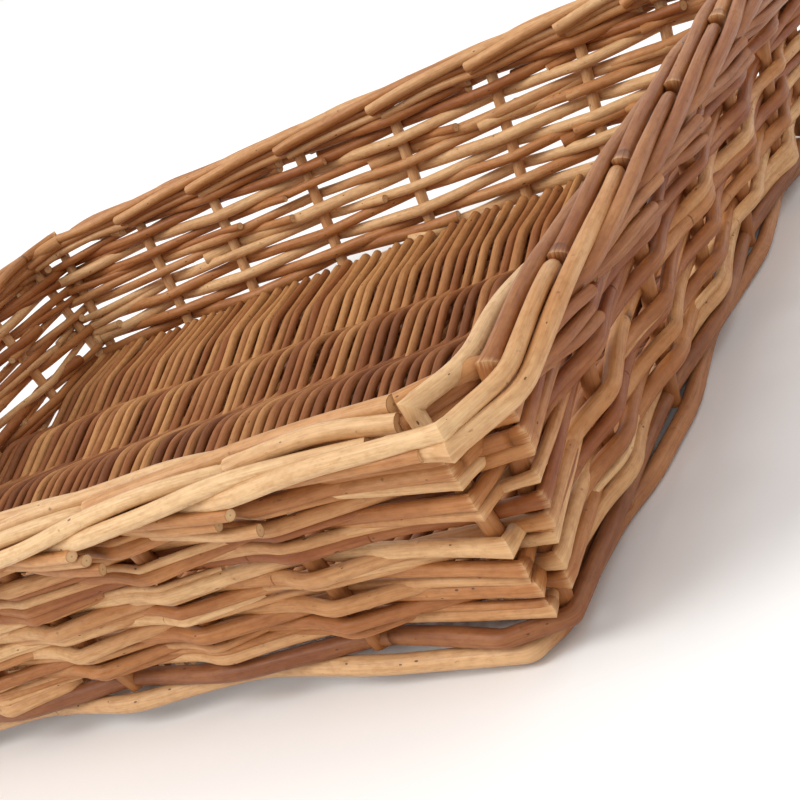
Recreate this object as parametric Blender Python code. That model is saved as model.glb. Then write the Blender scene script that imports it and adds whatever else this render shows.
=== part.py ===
"""A rectangular willow tray, built rod by rod as a basket maker weaves it.

Metres, +Z up. The origin lies on the floor under the tray's centre, +X runs
along the two long walls and +Y from the front wall to the back wall.

Seven sticks run the length of the base and seven weavers wind back and forth
across them. Thirty-two stakes stand in the four walls, two at each corner.
Two thick foot rods and twelve siding rods go round the stakes, in front of one
and behind the next. Above them each stake bends over and becomes a stroke of
the border: inside the next stake, over the top, and outside the two after it.
"""

import math

import bpy
from mathutils import Vector

NAME = "wicker_tray"

# Overall sizes, over the outermost rods
BASE_LENGTH = 0.416
BASE_WIDTH = 0.332
RIM_LENGTH = 0.460
RIM_WIDTH = 0.376
HEIGHT = 0.088

# Radii of the rods
STAKE_RADIUS = 0.0024
SIDING_RADIUS = 0.0021
FOOT_RADIUS = 0.0030
STICK_RADIUS = 0.00275
WEAVER_RADIUS = 0.0021

# Gaps between rods that touch in the real tray
GAP = 0.00035
BORDER_GAP = 0.00045

# Stakes: the cut corners, the feet above the floor, and the bend into the border
CORNER_CUT_BASE = 0.0065
CORNER_CUT_RIM = 0.0150
STAKE_FOOT = 0.0008
BEND_RADIUS = 0.006

# How far the sticks reach past the line of the stakes
STICK_OVERHANG = 0.0028

# Where the side stakes stand, as shares of the way from a wall's middle to its corner stakes
FRONT_SHARES = (-0.735, -0.49, -0.245, 0.0, 0.245, 0.49, 0.735)
BACK_SHARES = (-0.72, -0.47, -0.18, 0.10, 0.37, 0.59, 0.785)
SIDE_SHARES = (-0.69, -0.335, 0.015, 0.375, 0.725)

# Counts
SIDING_ROWS = 12
WEAVER_PASSES = (8, 8, 9, 8, 9, 8, 8)
TUBE_SIDES = 6

# A border stroke, as shares of the way between the stakes that it passes
LEVEL_SHARE = 0.55
CREST_SHARE = 0.50
HOLD_SHARE = 0.34
DROP_SHARE = 0.86
TAIL_SHARE = 0.20

# A string that turns more than this round a stake is drawn with three points
SHARP_TURN = math.radians(40)
TAUT_ROUNDS = 12

# Colours of the willow: linear red, green and blue
STAKE_COLOUR = (0.50, 0.29, 0.13)
SIDING_COLOUR = (0.42, 0.22, 0.10)
FOOT_COLOUR = (0.27, 0.11, 0.05)
STICK_COLOUR = (0.25, 0.11, 0.05)
WEAVER_COLOUR = (0.36, 0.18, 0.08)
ROUGHNESS = 0.55
TONE_STEP_SHARE = 0.05
TONES = 5

# Heights of the layers, from the floor up
FLAT_RADIUS = FOOT_RADIUS * math.cos(math.pi / TUBE_SIDES)
FOOT_LEVELS = (FLAT_RADIUS, FLAT_RADIUS + 2 * FOOT_RADIUS + GAP)
BASE_LEVEL = FOOT_LEVELS[1] + FOOT_RADIUS + GAP + STICK_RADIUS
SIDING_LEVEL = BASE_LEVEL + STICK_RADIUS + GAP + SIDING_RADIUS
SIDING_STEP = 2 * SIDING_RADIUS + GAP
SIDING_TOP = SIDING_LEVEL + (SIDING_ROWS - 1) * SIDING_STEP + SIDING_RADIUS
BORDER_STEP = 2 * STAKE_RADIUS + BORDER_GAP
BORDER_LOW = SIDING_TOP + GAP + STAKE_RADIUS
BORDER_MIDDLE = BORDER_LOW + BORDER_STEP
BORDER_TOP = HEIGHT - STAKE_RADIUS
BEND_LEVEL = BORDER_TOP - BORDER_STEP

# From the line of the stakes to the outside of the wall
BASE_REACH = STAKE_RADIUS + GAP + 2 * FOOT_RADIUS
RIM_REACH = STAKE_RADIUS + GAP + 2 * STAKE_RADIUS


def blend(start, end, share):
    """The value at a share of the way from start to end."""
    return start + (end - start) * share


def half_length(z):
    """Half the length between the lines of the stakes at height z."""
    return blend(BASE_LENGTH / 2 - BASE_REACH, RIM_LENGTH / 2 - RIM_REACH, z / HEIGHT)


def half_width(z):
    """Half the width between the lines of the stakes at height z."""
    return blend(BASE_WIDTH / 2 - BASE_REACH, RIM_WIDTH / 2 - RIM_REACH, z / HEIGHT)


def corner_cut(z):
    """How far a corner stake stands from the walls' meeting point at height z."""
    return blend(CORNER_CUT_BASE, CORNER_CUT_RIM, z / HEIGHT)


def corner_lean():
    """The lean of a corner stake from the vertical, the steepest lean in the tray."""
    rise_x = half_length(HEIGHT) - corner_cut(HEIGHT) - half_length(0) + corner_cut(0)
    rise_y = half_width(HEIGHT) - half_width(0)
    return math.atan2(math.hypot(rise_x, rise_y), HEIGHT)


LEAN = corner_lean()


class Stake:
    """One upright: its wall, its name, its place along the wall and how the foot rods pass it."""

    def __init__(self, wall, name, share, corner, number):
        self.wall = wall
        self.name = name
        self.share = share
        self.corner = corner
        self.number = number

    def at(self, z):
        """The centre of the stake at height z."""
        along_x = (half_length(z) - corner_cut(z)) * self.share
        along_y = (half_width(z) - corner_cut(z)) * self.share
        places = {
            "front": (along_x, -half_width(z)),
            "right": (half_length(z), along_y),
            "back": (along_x, half_width(z)),
            "left": (-half_length(z), along_y),
        }
        return Vector(places[self.wall])


def list_stakes():
    """All stakes in the order met when walking round the tray, counter-clockwise from above."""
    walls = (
        ("front", FRONT_SHARES, 1, ("left", "right")),
        ("right", SIDE_SHARES, 1, ("front", "back")),
        ("back", BACK_SHARES, -1, ("right", "left")),
        ("left", SIDE_SHARES, -1, ("back", "front")),
    )
    stakes = []
    for wall, shares, way, (first, last) in walls:
        stakes.append(Stake(wall, f"{wall}_corner_stake_{first}", -way, True, 0))
        for number, share in enumerate(shares[::way], start=1):
            stakes.append(Stake(wall, f"{wall}_stake_{number}", share, False, number))
        stakes.append(Stake(wall, f"{wall}_corner_stake_{last}", way, True, 0))
    return stakes


STAKES = list_stakes()


def to_the_right(direction):
    """The unit vector to the right of a direction, which is outward on this walk."""
    return Vector((direction.y, -direction.x)).normalized()


def pull_taut(centres, sides, reach, closed):
    """Corners of a string pulled tight past the centres.

    The string keeps `reach` away from each centre: outside it where its side is
    1, inside where it is -1, and through it where it is 0. Each round sets every
    point on the line that halves its turn. Returns the points, and for each the
    directions of the string before and after it.
    """
    count = len(centres)
    points = list(centres)
    for _ in range(TAUT_ROUNDS):
        legs = []
        for i, point in enumerate(points):
            before = point - points[i - 1] if closed or i > 0 else None
            after = points[(i + 1) % count] - point if closed or i < count - 1 else before
            before = (before or after).normalized()
            legs.append((before, after.normalized()))
        points = []
        for centre, side, (before, after) in zip(centres, sides, legs):
            half_turn = before.angle(after, 0.0) / 2
            offset = side * reach / math.cos(half_turn)
            points.append(centre + to_the_right(before + after) * offset)
    return points, legs


def round_corner(centre, side, reach, point, before, after):
    """The string's points at one centre: a sharp turn has three, so that it stays close round the stake."""
    turn = before.angle(after, 0.0)
    if side == 0 or turn < SHARP_TURN:
        return [point]
    offset = side * reach / math.cos(turn / 4)
    ways = (before, before + after, after)
    return [centre + to_the_right(way) * offset for way in ways]


def side_of_siding(row, index):
    """Siding goes outside one stake and inside the next, row against row."""
    return 1 if (index + row) % 2 == 0 else -1


def side_of_foot(row, index):
    """A foot rod stays outside both corner stakes and alternates along each wall."""
    stake = STAKES[index]
    if stake.corner:
        return 1
    return 1 if (stake.number + row) % 2 == 1 else -1


def ring_path(z, radius, side_of, row, start):
    """The way of a rod that goes once round at height z.

    Its two ends meet, a gap apart, behind the first stake after `start` where
    the rod passes inside and no corner is in the way.
    """
    count = len(STAKES)
    while side_of(row, start % count) > 0 or STAKES[start % count].corner:
        start += 1
    order = [(start + i) % count for i in range(count)]
    centres = [STAKES[index].at(z) for index in order]
    sides = [side_of(row, index) for index in order]
    reach = (STAKE_RADIUS + radius + GAP) / math.cos(LEAN)
    points, legs = pull_taut(centres, sides, reach, closed=True)
    joint = points[0]
    route = []
    for centre, side, point, (before, after) in zip(centres[1:], sides[1:], points[1:], legs[1:]):
        route += round_corner(centre, side, reach, point, before, after)
    first = joint + (route[0] - joint).normalized() * GAP
    last = joint + (route[-1] - joint).normalized() * GAP
    return [point.to_3d() + Vector((0, 0, z)) for point in [first, *route, last]]


def inner_edge(half_size):
    """How far a base weaver's centre line may reach from the middle, clear of the foot rods."""
    return half_size(FOOT_LEVELS[1]) - BASE_REACH - 2 * GAP - WEAVER_RADIUS


def stick_places():
    """The y of each base stick: the outer two leave a weaver room to turn, the others lie beside a stake."""
    beside = (STAKE_RADIUS + STICK_RADIUS) / math.cos(LEAN) + GAP
    edge = inner_edge(half_width) - STICK_RADIUS - GAP - WEAVER_RADIUS
    stakes = [stake.at(BASE_LEVEL).y for stake in STAKES if stake.wall == "right" and not stake.corner]
    return [-edge, *(y + beside for y in stakes), edge]


def weaver_paths():
    """The ways of the base weavers, which cross all sticks, turn round the last and come back."""
    sticks = stick_places()
    lift = STICK_RADIUS + WEAVER_RADIUS + GAP
    end_x = inner_edge(half_length)
    step = 2 * end_x / (sum(WEAVER_PASSES) - 1)
    turn_angle = math.pi / 6

    def crossing_height(number):
        """Height of the bend over a stick, so that the slopes beside it clear the stick too."""
        if number in (0, len(sticks) - 1):
            return lift / math.cos(turn_angle)
        room = min(sticks[number] - sticks[number - 1], sticks[number + 1] - sticks[number])
        return lift / math.cos(math.atan2(2 * lift, room - WEAVER_RADIUS))

    paths = []
    index = 0
    for passes in WEAVER_PASSES:
        path = []
        for number in range(passes):
            x = index * step - end_x
            way = 1 if index % 2 == 0 else -1
            order = range(len(sticks))[::way]
            for stick in order:
                level = 1 if (index + stick) % 2 == 0 else -1
                path.append(Vector((x, sticks[stick], BASE_LEVEL + level * crossing_height(stick))))
            if number < passes - 1:
                y = sticks[order[-1]] + way * lift
                drop = level * lift * math.tan(turn_angle)
                path.append(Vector((x + step / 3, y, BASE_LEVEL + drop)))
                path.append(Vector((x + 2 * step / 3, y, BASE_LEVEL - drop)))
            index += 1
        paths.append(path)
    return paths


def stake_path(index):
    """The way of a stake: up the wall and along the rim as one stroke of the border."""
    order = [(index + i) % len(STAKES) for i in range(5)]
    centres = [STAKES[i].at(BEND_LEVEL) for i in order]
    reach = (2 * STAKE_RADIUS + BORDER_GAP) / math.cos(LEAN)
    corners, _ = pull_taut(centres, (0, -1, 1, 1, 1), reach, closed=False)

    def along(stakes_passed, z):
        """The point above the string, a number of stakes along from this one."""
        last = min(int(stakes_passed), len(corners) - 2)
        place = corners[last].lerp(corners[last + 1], stakes_passed - last)
        return place.to_3d() + Vector((0, 0, z))

    stake = STAKES[index]
    ahead = (corners[1] - corners[0]).normalized().to_3d()
    foot = stake.at(STAKE_FOOT).to_3d() + Vector((0, 0, STAKE_FOOT))
    below_bend = BEND_LEVEL - BEND_RADIUS
    bend_start = stake.at(below_bend).to_3d() + Vector((0, 0, below_bend))
    bend_top = stake.at(BEND_LEVEL).to_3d() + Vector((0, 0, BEND_LEVEL))
    cut_in = (1 - math.cos(math.pi / 4)) * BEND_RADIUS
    bend_middle = bend_top + (ahead - Vector((0, 0, 1))) * cut_in
    return [
        foot,
        bend_start,
        bend_middle,
        bend_top + ahead * BEND_RADIUS,
        along(LEVEL_SHARE, BEND_LEVEL),
        along(1, BORDER_TOP),
        along(1 + CREST_SHARE, BORDER_TOP),
        along(2, BORDER_MIDDLE),
        along(2 + HOLD_SHARE, BORDER_MIDDLE),
        along(2 + DROP_SHARE, BORDER_LOW),
        along(3, BORDER_LOW),
        along(3 + TAIL_SHARE, BORDER_LOW),
    ]


def clear_scene():
    """Remove every object of the open scene."""
    for item in list(bpy.data.objects):
        bpy.data.objects.remove(item, do_unlink=True)


def willow(name, colour, tone):
    """A Principled material in a willow colour, a little lighter for a higher tone."""
    material = bpy.data.materials.new(name)
    material.use_nodes = True
    shader = material.node_tree.nodes["Principled BSDF"]
    light = 1 + TONE_STEP_SHARE * (tone % TONES)
    shader.inputs["Base Color"].default_value = (*(light * value for value in colour), 1)
    shader.inputs["Roughness"].default_value = ROUGHNESS
    shader.inputs["Metallic"].default_value = 0
    material.diffuse_color = (*(light * value for value in colour), 1)
    return material


def add_rod(collection, parent, name, path, radius, colour, tone):
    """One rod: a six-sided tube along a way, with closed ends."""
    curve = bpy.data.curves.new(name, "CURVE")
    curve.dimensions = "3D"
    curve.twist_mode = "Z_UP"
    curve.bevel_depth = radius
    curve.bevel_resolution = (TUBE_SIDES - 4) // 2
    curve.use_fill_caps = True
    spline = curve.splines.new("POLY")
    spline.points.add(len(path) - 1)
    for point, place in zip(spline.points, path):
        point.co = (*(place - path[0]), 1)
    curve.materials.append(willow(f"{name}_willow", colour, tone))
    rod = bpy.data.objects.new(name, curve)
    rod.location = path[0]
    rod.parent = parent
    collection.objects.link(rod)
    return rod


def add_foot(collection, parent):
    """Two thick rods round the feet of the stakes, on which the tray stands."""
    quarter = len(STAKES) // 4
    for row, (name, z) in enumerate(zip(("foot_rod_lower", "foot_rod_upper"), FOOT_LEVELS)):
        path = ring_path(z, FOOT_RADIUS, side_of_foot, row, start=1 + row * 2 * quarter)
        add_rod(collection, parent, name, path, FOOT_RADIUS, FOOT_COLOUR, row)


def add_base(collection, parent):
    """The sticks along the base, and the weavers across them."""
    reach = half_length(BASE_LEVEL) + STICK_OVERHANG
    for number, y in enumerate(stick_places(), start=1):
        path = [Vector((-reach, y, BASE_LEVEL)), Vector((reach, y, BASE_LEVEL))]
        add_rod(collection, parent, f"base_stick_{number}", path, STICK_RADIUS, STICK_COLOUR, number)
    for number, path in enumerate(weaver_paths(), start=1):
        add_rod(collection, parent, f"base_weaver_{number}", path, WEAVER_RADIUS, WEAVER_COLOUR, number)


def add_siding(collection, parent):
    """The rows of the walls, each one rod that goes once round."""
    for row in range(SIDING_ROWS):
        z = SIDING_LEVEL + row * SIDING_STEP
        start = row * (len(STAKES) // 3)
        path = ring_path(z, SIDING_RADIUS, side_of_siding, row, start)
        name = f"siding_rod_{row + 1:02d}"
        add_rod(collection, parent, name, path, SIDING_RADIUS, SIDING_COLOUR, 2 * row)


def add_stakes(collection, parent):
    """The stakes, each with its stroke of the border."""
    for index, stake in enumerate(STAKES):
        add_rod(collection, parent, stake.name, stake_path(index), STAKE_RADIUS, STAKE_COLOUR, index)


def main():
    """Build the tray in a collection of its own, under one empty."""
    clear_scene()
    collection = bpy.data.collections.new(NAME)
    bpy.context.scene.collection.children.link(collection)
    parent = bpy.data.objects.new(NAME, None)
    collection.objects.link(parent)
    add_foot(collection, parent)
    add_base(collection, parent)
    add_siding(collection, parent)
    add_stakes(collection, parent)


main()
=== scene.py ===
# %% [markdown]
# # A willow tray, rod by rod
#
# A willow tray has no carcass: every line in it is a whole rod that was soaked, bent and let dry. This
# lesson lays those rods one after another: a foot, a base, the uprights with the border that they turn
# into, and the siding that is woven round them. Each rod is a path worked out with numpy and a round
# profile carried along it.
#
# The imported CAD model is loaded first. The uprights, the foot and the base take their places from it. The
# rows of the siding lie a little further apart than its rows.

import math

import bpy
import numpy as np
from mathutils import Matrix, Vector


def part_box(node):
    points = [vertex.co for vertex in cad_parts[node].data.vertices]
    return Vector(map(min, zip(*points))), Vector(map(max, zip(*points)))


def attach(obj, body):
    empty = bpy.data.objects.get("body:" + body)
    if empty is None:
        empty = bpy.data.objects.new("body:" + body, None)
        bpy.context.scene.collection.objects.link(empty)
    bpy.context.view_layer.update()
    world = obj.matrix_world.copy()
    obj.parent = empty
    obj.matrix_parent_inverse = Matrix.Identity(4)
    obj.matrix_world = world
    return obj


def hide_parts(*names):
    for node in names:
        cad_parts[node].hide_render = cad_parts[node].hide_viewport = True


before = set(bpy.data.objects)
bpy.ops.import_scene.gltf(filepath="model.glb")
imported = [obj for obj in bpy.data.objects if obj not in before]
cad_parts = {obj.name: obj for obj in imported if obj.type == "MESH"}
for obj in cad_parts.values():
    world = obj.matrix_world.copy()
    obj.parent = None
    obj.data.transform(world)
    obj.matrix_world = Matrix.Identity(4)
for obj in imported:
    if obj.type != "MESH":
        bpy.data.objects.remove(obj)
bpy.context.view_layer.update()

# %% [markdown]
# ## The camera
#
# The portrait is a close view of the near right corner, from above, with the camera rolled so that the
# long walls run up to the right. Three angles describe such a camera: where it looks round the compass,
# how far down, and its roll. Its place and angles were solved from the straight lines of the rim and the
# base.

# %% Camera
CAMERA_PLACE = (0.4100, -0.4537, 0.2065)
LOOKS_LEFT_OF_BACK = math.radians(36.65)
LOOKS_DOWN = math.radians(19.0)
ROLL = math.radians(-30.38)
FOCAL_LENGTH_PIXELS = 1595.5
PICTURE_PIXELS = 800
SENSOR_WIDTH = 36.0


def add_camera():
    """A camera that starts looking along +Y, is rolled, tipped down and then turned left."""
    data = bpy.data.cameras.new("portrait")
    data.sensor_width = SENSOR_WIDTH
    data.lens = SENSOR_WIDTH * FOCAL_LENGTH_PIXELS / PICTURE_PIXELS
    data.clip_start = 0.01
    camera = bpy.data.objects.new("portrait", data)
    upright = Matrix.Rotation(math.radians(90) - LOOKS_DOWN, 4, "X")
    turned = Matrix.Rotation(LOOKS_LEFT_OF_BACK, 4, "Z")
    rolled = Matrix.Rotation(ROLL, 4, "Z")
    camera.matrix_world = Matrix.Translation(CAMERA_PLACE) @ turned @ upright @ rolled
    bpy.context.scene.collection.objects.link(camera)
    bpy.context.scene.camera = camera
    return camera


camera = add_camera()
print("lens", round(camera.data.lens, 1), "mm")

# %% [markdown]
# ## Floor and light
#
# The studio is plain: a white floor that runs far past the view, a white sky that fills the shadows, and
# one wide soft lamp high on the left. It lights the long front wall and the near rim, and leaves the
# right wall and the floor beside it in a soft warm shade. A weaker one from the right keeps the inside of
# the left wall from going dark.

# %% Floor, sky and lamps
FLOOR_HALF = 60.0
KEY_FROM = (-0.50, -0.42, 0.76)
KEY_STRENGTH = 1.80
KEY_SOFTNESS = math.radians(38)
FILL_FROM = (0.62, -0.05, 0.78)
FILL_STRENGTH = 0.28
FILL_SOFTNESS = math.radians(100)
SKY_STRENGTH = 0.90


def add_floor():
    """A flat square of pale floor at height zero."""
    corners = [(-FLOOR_HALF, -FLOOR_HALF, 0), (FLOOR_HALF, -FLOOR_HALF, 0),
               (FLOOR_HALF, FLOOR_HALF, 0), (-FLOOR_HALF, FLOOR_HALF, 0)]
    mesh = bpy.data.meshes.new("floor")
    mesh.from_pydata(corners, [], [(0, 1, 2, 3)])
    floor = bpy.data.objects.new("floor", mesh)
    bpy.context.scene.collection.objects.link(floor)
    material = bpy.data.materials.new("floor_paint")
    material.use_nodes = True
    shader = material.node_tree.nodes["Principled BSDF"]
    shader.inputs["Base Color"].default_value = (0.89, 0.90, 0.91, 1)
    shader.inputs["Roughness"].default_value = 0.7
    mesh.materials.append(material)


def add_sun(name, source, strength, softness, colour):
    """A sun lamp that shines from a direction; its disc is wide, so its shadows are soft."""
    data = bpy.data.lights.new(name, "SUN")
    data.energy = strength
    data.angle = softness
    data.color = colour
    lamp = bpy.data.objects.new(name, data)
    turn = Matrix.Rotation(math.atan2(source[1], source[0]) + math.radians(90), 4, "Z")
    tip = Matrix.Rotation(math.atan2(math.hypot(source[0], source[1]), source[2]), 4, "X")
    lamp.matrix_world = turn @ tip
    bpy.context.scene.collection.objects.link(lamp)


def add_sky(colour, strength):
    """An even sky of one colour."""
    world = bpy.data.worlds.new("sky")
    world.use_nodes = True
    background = world.node_tree.nodes["Background"]
    background.inputs["Color"].default_value = (*colour, 1)
    background.inputs["Strength"].default_value = strength
    bpy.context.scene.world = world


add_floor()
add_sky((1.0, 0.98, 0.955), SKY_STRENGTH)
add_sun("key", KEY_FROM, KEY_STRENGTH, KEY_SOFTNESS, (1.0, 0.975, 0.94))
add_sun("fill", FILL_FROM, FILL_STRENGTH, FILL_SOFTNESS, (1.0, 0.98, 0.96))
bpy.context.scene.view_settings.view_transform = "Standard"
print("floor", 2 * FLOOR_HALF, "m across")

# %% [markdown]
# ## Where the uprights stand
#
# The CAD uprights are six-sided tubes, so the twelve lowest corners of one are its foot and its neck,
# where it starts to bend into the border. The mean of each six is a point on its centre line.

# %% Read the uprights from the frame
WALLS = (
    ("front", 7, "left", "right", (0, -1)),
    ("right", 5, "front", "back", (1, 0)),
    ("back", 7, "right", "left", (0, 1)),
    ("left", 5, "back", "front", (-1, 0)),
)
TUBE_SIDES_CAD = 6
BESIDE_THE_FOOT = 0.026


def list_stakes():
    """Node names, corner marks and outward directions of the uprights, counter-clockwise from above."""
    names, corner, outward = [], [], []
    for wall, count, first, last, way in WALLS:
        names.append(f"{wall}_corner_stake_{first}")
        names += [f"{wall}_stake_{number}" for number in range(1, count + 1)]
        names.append(f"{wall}_corner_stake_{last}")
        corner += [True, *[False] * count, True]
        outward += [way] * (count + 2)
    return names, np.array(corner), np.array(outward, float)


def corners_of(node):
    """The places of a CAD node's corners above its foot, each once, lowest first."""
    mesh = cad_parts[node].data
    places = np.empty(len(mesh.vertices) * 3)
    mesh.vertices.foreach_get("co", places)
    places = np.unique(places.reshape(-1, 3).round(6), axis=0)
    places = places[np.argsort(places[:, 2])]
    away = np.linalg.norm((places - places[0])[:, :2], axis=1)
    return places[away < BESIDE_THE_FOOT]


STAKES, IS_CORNER, WALL_WAY = list_stakes()
COUNT = len(STAKES)
FOOT = np.array([corners_of(name)[:TUBE_SIDES_CAD].mean(axis=0) for name in STAKES])
NECK = np.array([corners_of(name)[TUBE_SIDES_CAD:2 * TUBE_SIDES_CAD].mean(axis=0) for name in STAKES])
ROWS = 12
ROW_NAMES = [f"siding_rod_{row:02d}" for row in range(1, ROWS + 1)]
ROW_LEVEL = np.array([(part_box(name)[0][2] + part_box(name)[1][2]) / 2 for name in ROW_NAMES])
print(COUNT, "uprights, necks at", round(1000 * NECK[:, 2].mean(), 1), "mm, rows from",
      round(1000 * ROW_LEVEL[0], 1), "to", round(1000 * ROW_LEVEL[-1], 1), "mm")

# %% [markdown]
# ## From paths to rods
#
# Every rod is made the same way. A few corner points are rounded into a path, a round profile is carried
# along it, and the skin is closed with two slanting cuts. Willow is never quite even, so the profile
# tapers, swells a little, wanders off its line and carries a bud scar every few centimetres.
#
# The skin also remembers where it was on the straight rod, before bending, in the attribute `grain`. The
# wood pattern reads that attribute, so its fibres run along every bend.

# %% Small vector helpers
MM = 0.001
CURVE_POINTS = 6
RUN_POINTS = 5


def unit(vectors):
    """Each vector divided by its length."""
    return vectors / np.maximum(np.linalg.norm(vectors, axis=-1, keepdims=True), 1e-12)


def rounded(points, cuts):
    """A path through the points with its corners rounded.

    Around each inner point P the path leaves the line `cut` before P and joins the next line `cut` after it,
    on the parabola (1-t)^2 A + 2t(1-t) P + t^2 B. Straight runs between get a few points of their own.
    """
    points = np.asarray(points, float)
    ways = np.diff(points, axis=0)
    room = np.linalg.norm(ways, axis=1)
    ways = unit(ways)
    inner = points[1:-1]
    most = 0.48 * np.minimum(room[:-1], room[1:])
    cut = np.minimum(np.asarray(cuts, float), most)[:, None]
    start = inner - ways[:-1] * cut
    end = inner + ways[1:] * cut
    t = np.linspace(0, 1, CURVE_POINTS)[:, None]
    bends = ((1 - t) ** 2 * start[:, None] + 2 * t * (1 - t) * inner[:, None] + t ** 2 * end[:, None])
    run_from = np.concatenate([points[:1], end])
    run_to = np.concatenate([start, points[-1:]])
    t = np.linspace(0, 1, RUN_POINTS + 2)[1:-1, None]
    runs = run_from[:, None] + t * (run_to - run_from)[:, None]
    middle = np.concatenate([bends, runs[1:]], axis=1).reshape(-1, 3)
    return np.concatenate([points[:1], runs[0], middle, points[-1:]])


def along(values, share):
    """Values listed once for each stake, read between stakes: share 3.25 is a quarter past stake 3."""
    share = np.asarray(share, float)
    low = np.floor(share).astype(int)
    part = (share - low).reshape(-1, *[1] * (values.ndim - 1))
    return values[low % COUNT] * (1 - part) + values[(low + 1) % COUNT] * part


# %% The rod itself
SIDES = 12
BUD_STEP = 0.040
BUD_RINGS = np.array([-2.0, -1.2, -0.6, 0, 0.6, 1.2, 2.0]) * MM
BUD_LENGTH = 0.9 * MM
BUD_WIDTH = 0.40
BUD_SWELL = 0.10
# the slow waves in which a rod wanders: each is pi times so many millimetres long
SWAY_WAVES = np.array([21, 34, 55])
RISE_WAVES = np.array([18, 40, 61])
# nearer than this to its ends, in metres, a rod wanders less and less
CALM_END = 0.01
CREASE_ROOM = 2.3 * MM
CREASE_RIDGE, CREASE_HOLLOW, CREASE_WIDTH = 1.28, 0.45, 1.22


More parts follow.
